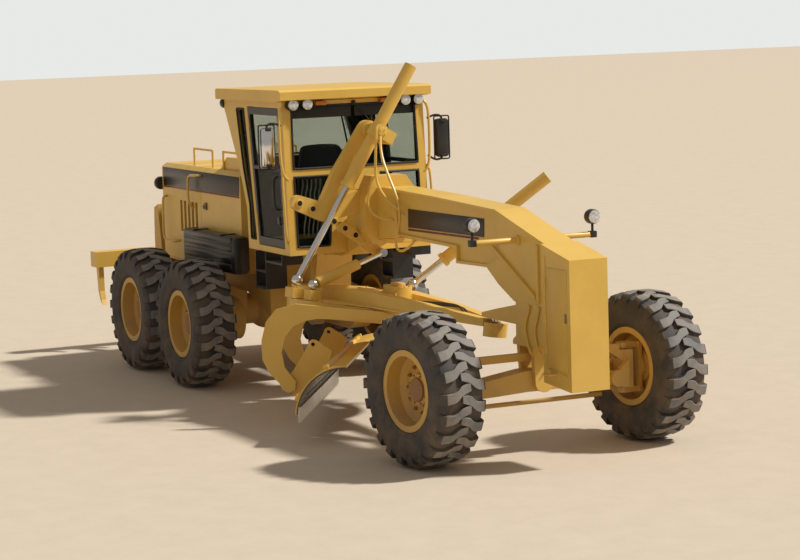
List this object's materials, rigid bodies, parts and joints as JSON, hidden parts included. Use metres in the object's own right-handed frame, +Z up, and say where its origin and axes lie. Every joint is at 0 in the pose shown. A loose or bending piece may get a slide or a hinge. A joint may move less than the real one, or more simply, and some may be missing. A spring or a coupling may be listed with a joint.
{
  "type": "motor grader",
  "caption": "Articulated motor grader with a cab, a long arched front frame, a turning blade under it, a rear engine on tandem wheels and a rear ripper.",
  "frame": {"origin": "on the ground under the middle of the machine's bounding box, the machine as it stands in the picture", "axes": "+X forward along the machine, +Y to the machine's left, +Z up"},
  "size_m": [9.75, 3.3006, 3.3989],
  "materials": {
    "yellow_paint": "worn satin",
    "black_paint": "satin",
    "tyre_rubber": "dusty matte",
    "bare_steel": "polished by use",
    "cab_glass": "tinted",
    "seat_cloth": "matte"
  },
  "bodies": {
    "rear": {"rear_frame": "yellow_paint", "engine": "black_paint", "engine_hood": "yellow_paint", "radiator_grille": "black_paint", "side_tanks": "black_paint"},
    "hood_door_right": {"hood_door_right": "yellow_paint"},
    "hood_door_left": {"hood_door_left": "yellow_paint"},
    "tandem_right": {"tandem_right": "yellow_paint"},
    "tandem_left": {"tandem_left": "yellow_paint"},
    "wheel_mid_right": {"rim_mid_right": "yellow_paint", "tyre_mid_right": "tyre_rubber"},
    "wheel_mid_left": {"rim_mid_left": "yellow_paint", "tyre_mid_left": "tyre_rubber"},
    "wheel_rear_right": {"rim_rear_right": "yellow_paint", "tyre_rear_right": "tyre_rubber"},
    "wheel_rear_left": {"rim_rear_left": "yellow_paint", "tyre_rear_left": "tyre_rubber"},
    "ripper": {"ripper_arms": "yellow_paint", "ripper_beam": "yellow_paint"},
    "front": {"front_frame": "yellow_paint", "front_box": "yellow_paint", "cab_frame": "yellow_paint", "cab_roof": "yellow_paint", "cab_glass": "cab_glass", "seat": "seat_cloth", "console": "black_paint", "steps": "black_paint", "front_lamps": "black_paint", "mirrors": "black_paint", "lift_linkage": "yellow_paint"},
    "cab_door_right": {"cab_door_right": "black_paint", "door_glass_right": "cab_glass"},
    "cab_door_left": {"cab_door_left": "black_paint", "door_glass_left": "cab_glass"},
    "axle": {"front_axle": "yellow_paint"},
    "lean_right": {"lean_bracket_right": "yellow_paint"},
    "lean_left": {"lean_bracket_left": "yellow_paint"},
    "lean_bar": {"lean_bar": "yellow_paint"},
    "knuckle_right": {"knuckle_right": "yellow_paint"},
    "knuckle_left": {"knuckle_left": "yellow_paint"},
    "tie_ball": {"tie_ball": "bare_steel"},
    "tie_rod": {"tie_rod": "yellow_paint"},
    "wheel_front_right": {"rim_front_right": "yellow_paint", "tyre_front_right": "tyre_rubber"},
    "wheel_front_left": {"rim_front_left": "yellow_paint", "tyre_front_left": "tyre_rubber"},
    "draft_ball": {"draft_ball": "bare_steel"},
    "drawbar": {"drawbar": "yellow_paint"},
    "circle": {"blade_circle": "yellow_paint"},
    "tip": {"tip_bracket": "yellow_paint"},
    "blade": {"moldboard": "yellow_paint", "cutting_edge": "bare_steel"},
    "lift_barrel_right": {"lift_barrel_right": "yellow_paint"},
    "lift_barrel_left": {"lift_barrel_left": "yellow_paint"},
    "lift_rod_right": {"lift_rod_right": "bare_steel"},
    "lift_rod_left": {"lift_rod_left": "bare_steel"},
    "shift_ball": {"shift_ball": "bare_steel"},
    "shift_barrel": {"shift_barrel": "yellow_paint"},
    "shift_rod": {"shift_rod": "bare_steel"}
  },
  "joints": [
    {"name": "articulation", "type": "hinge", "parent": "rear", "child": "front", "pos_m": [-0.815, 0, 1.07], "axis": [0, 0, 1], "range_deg": [-20, 20]},
    {"name": "tandem_right_swing", "type": "hinge", "parent": "rear", "child": "tandem_right", "pos_m": [-2.235, -0.745, 0.675], "axis": [0, 1, 0], "range_deg": [-15, 25]},
    {"name": "wheel_mid_right_spin", "type": "hinge", "parent": "tandem_right", "child": "wheel_mid_right", "pos_m": [-1.4735, -1.1275, 0.675], "axis": [0, 1, 0], "continuous": true},
    {"name": "wheel_rear_right_spin", "type": "hinge", "parent": "tandem_right", "child": "wheel_rear_right", "pos_m": [-2.9965, -1.1275, 0.675], "axis": [0, 1, 0], "continuous": true},
    {"name": "hood_door_right_lift", "type": "hinge", "parent": "rear", "child": "hood_door_right", "pos_m": [-2.04, -0.598, 2.01], "axis": [-1, 0, 0], "range_deg": [0, 75]},
    {"name": "cab_door_right_swing", "type": "hinge", "parent": "front", "child": "cab_door_right", "pos_m": [-0.465, -0.778, 1.6], "axis": [0.1404, 0, -0.9901], "range_deg": [0, 80]},
    {"name": "tandem_left_swing", "type": "hinge", "parent": "rear", "child": "tandem_left", "pos_m": [-2.235, 0.745, 0.675], "axis": [0, 1, 0], "range_deg": [-15, 25]},
    {"name": "wheel_mid_left_spin", "type": "hinge", "parent": "tandem_left", "child": "wheel_mid_left", "pos_m": [-1.4735, 1.1275, 0.675], "axis": [0, 1, 0], "continuous": true},
    {"name": "wheel_rear_left_spin", "type": "hinge", "parent": "tandem_left", "child": "wheel_rear_left", "pos_m": [-2.9965, 1.1275, 0.675], "axis": [0, 1, 0], "continuous": true},
    {"name": "hood_door_left_lift", "type": "hinge", "parent": "rear", "child": "hood_door_left", "pos_m": [-2.04, 0.598, 2.01], "axis": [1, 0, 0], "range_deg": [0, 75]},
    {"name": "cab_door_left_swing", "type": "hinge", "parent": "front", "child": "cab_door_left", "pos_m": [-0.465, 0.778, 1.6], "axis": [-0.1404, 0, 0.9901], "range_deg": [0, 80]},
    {"name": "ripper_lower", "type": "hinge", "parent": "rear", "child": "ripper", "pos_m": [-3.925, 0, 0.6], "axis": [0, -1, 0], "range_deg": [-8, 45]},
    {"name": "axle_oscillation", "type": "hinge", "parent": "front", "child": "axle", "pos_m": [3.935, 0, 0.64], "axis": [1, 0, 0], "range_deg": [-16, 16]},
    {"name": "lean", "type": "hinge", "parent": "axle", "child": "lean_right", "pos_m": [3.935, -0.76, 0.6], "axis": [1, 0, 0], "range_deg": [-18, 18]},
    {"name": "lean_left_follow", "type": "hinge", "parent": "axle", "child": "lean_left", "pos_m": [3.935, 0.76, 0.6], "axis": [1, 0, 0], "range_deg": [-18.5, 18.5]},
    {"name": "lean_bar_follow", "type": "hinge", "parent": "lean_right", "child": "lean_bar", "pos_m": [3.935, -0.76, 0.86], "axis": [1, 0, 0], "range_deg": [-18.5, 18.5]},
    {"name": "steering", "type": "hinge", "parent": "lean_right", "child": "knuckle_right", "pos_m": [3.935, -0.88, 0.675], "axis": [0, 0, 1], "range_deg": [-54.5, 40.5]},
    {"name": "steering_left_follow", "type": "hinge", "parent": "lean_left", "child": "knuckle_left", "pos_m": [3.935, 0.88, 0.675], "axis": [0, 0, 1], "range_deg": [-55, 41]},
    {"name": "tie_ball_follow", "type": "hinge", "parent": "knuckle_right", "child": "tie_ball", "pos_m": [3.72535, -0.89567, 0.414], "axis": [0, 0, 1], "range_deg": [-41, 55]},
    {"name": "tie_rod_follow", "type": "hinge", "parent": "tie_ball", "child": "tie_rod", "pos_m": [3.72535, -0.89567, 0.414], "axis": [1, 0, 0], "range_deg": [-18.5, 18.5]},
    {"name": "wheel_front_right_spin", "type": "hinge", "parent": "knuckle_right", "child": "wheel_front_right", "pos_m": [3.96516, -1.12566, 0.675], "axis": [-0.1219, 0.9925, 0], "continuous": true},
    {"name": "wheel_front_left_spin", "type": "hinge", "parent": "knuckle_left", "child": "wheel_front_left", "pos_m": [3.90484, 1.12566, 0.675], "axis": [-0.1219, 0.9925, 0], "continuous": true},
    {"name": "drawbar_shift", "type": "hinge", "parent": "front", "child": "draft_ball", "pos_m": [3.18429, 0.00132, 1.02079], "axis": [-0.0053, -0.1238, -0.9923], "range_deg": [-4, 8]},
    {"name": "blade_lift", "type": "hinge", "parent": "draft_ball", "child": "drawbar", "pos_m": [3.18429, 0.00132, 1.02079], "axis": [-0.1392, 0.9903, 0], "range_deg": [-10, 6]},
    {"name": "circle_turn", "type": "hinge", "parent": "drawbar", "child": "circle", "pos_m": [1.035, -0.3, 1.076], "axis": [0.0053, 0.1238, 0.9923], "continuous": true},
    {"name": "blade_tip", "type": "hinge", "parent": "circle", "child": "tip", "pos_m": [0.73661, -0.90639, 0.34705], "axis": [0.8669, -0.4953, 0.0571], "range_deg": [-18, 25]},
    {"name": "blade_side_shift", "type": "slide", "parent": "tip", "child": "blade", "axis": [0.8669, -0.4953, 0.0571], "range_m": [-0.51, 0.66]},
    {"name": "lift_right_swing", "type": "hinge", "parent": "front", "child": "lift_barrel_right", "pos_m": [1.075, -0.145, 2.738], "axis": [1, 0, 0], "range_deg": [-5.28, 8.46]},
    {"name": "lift_right_stroke", "type": "slide", "parent": "lift_barrel_right", "child": "lift_rod_right", "axis": [-0.0838, -0.5063, -0.8583], "range_m": [-0.2225, 0.3642]},
    {"name": "lift_left_swing", "type": "hinge", "parent": "front", "child": "lift_barrel_left", "pos_m": [1.112, 1.066, 1.768], "axis": [1, 0, 0], "range_deg": [-14.02, 23.04]},
    {"name": "lift_left_stroke", "type": "slide", "parent": "lift_barrel_left", "child": "lift_rod_left", "axis": [-0.3675, -0.707, -0.6042], "range_m": [-0.152, 0.2466]},
    {"name": "shift_tilt", "type": "hinge", "parent": "drawbar", "child": "shift_ball", "pos_m": [1.16556, -0.90466, 1.30191], "axis": [-0.9333, -0.2695, 0.2371], "range_deg": [-25.08, 15.25]},
    {"name": "shift_swing", "type": "hinge", "parent": "shift_ball", "child": "shift_barrel", "pos_m": [1.16556, -0.90466, 1.30191], "axis": [0.9367, 0.1076, 0.3331], "range_deg": [-4.55, 8.61]},
    {"name": "shift_stroke", "type": "slide", "parent": "shift_barrel", "child": "shift_rod", "axis": [-0.2037, 0.9415, 0.2686], "range_m": [-0.2911, 0.1506]}
  ],
  "couplings": [
    {"joint": "lean_left_follow", "follows": "lean", "ratio": 1},
    {"joint": "lean_bar_follow", "follows": "lean", "ratio": -1},
    {"joint": "steering_left_follow", "follows": "steering", "ratio": 1},
    {"joint": "tie_ball_follow", "follows": "steering", "ratio": -1},
    {"joint": "tie_rod_follow", "follows": "lean", "ratio": -1},
    {"joint": "lift_right_swing", "follows": "blade_lift", "ratio": -0.79608},
    {"joint": "lift_right_stroke", "follows": "blade_lift", "m_per_rad": -2.0294},
    {"joint": "lift_left_swing", "follows": "blade_lift", "ratio": -2.2537},
    {"joint": "lift_left_stroke", "follows": "blade_lift", "m_per_rad": -1.3557},
    {"joint": "shift_tilt", "follows": "blade_lift", "ratio": 2.4583},
    {"joint": "shift_swing", "follows": "drawbar_shift", "ratio": 1.0136},
    {"joint": "shift_stroke", "follows": "drawbar_shift", "m_per_rad": -2.0133}
  ]
}
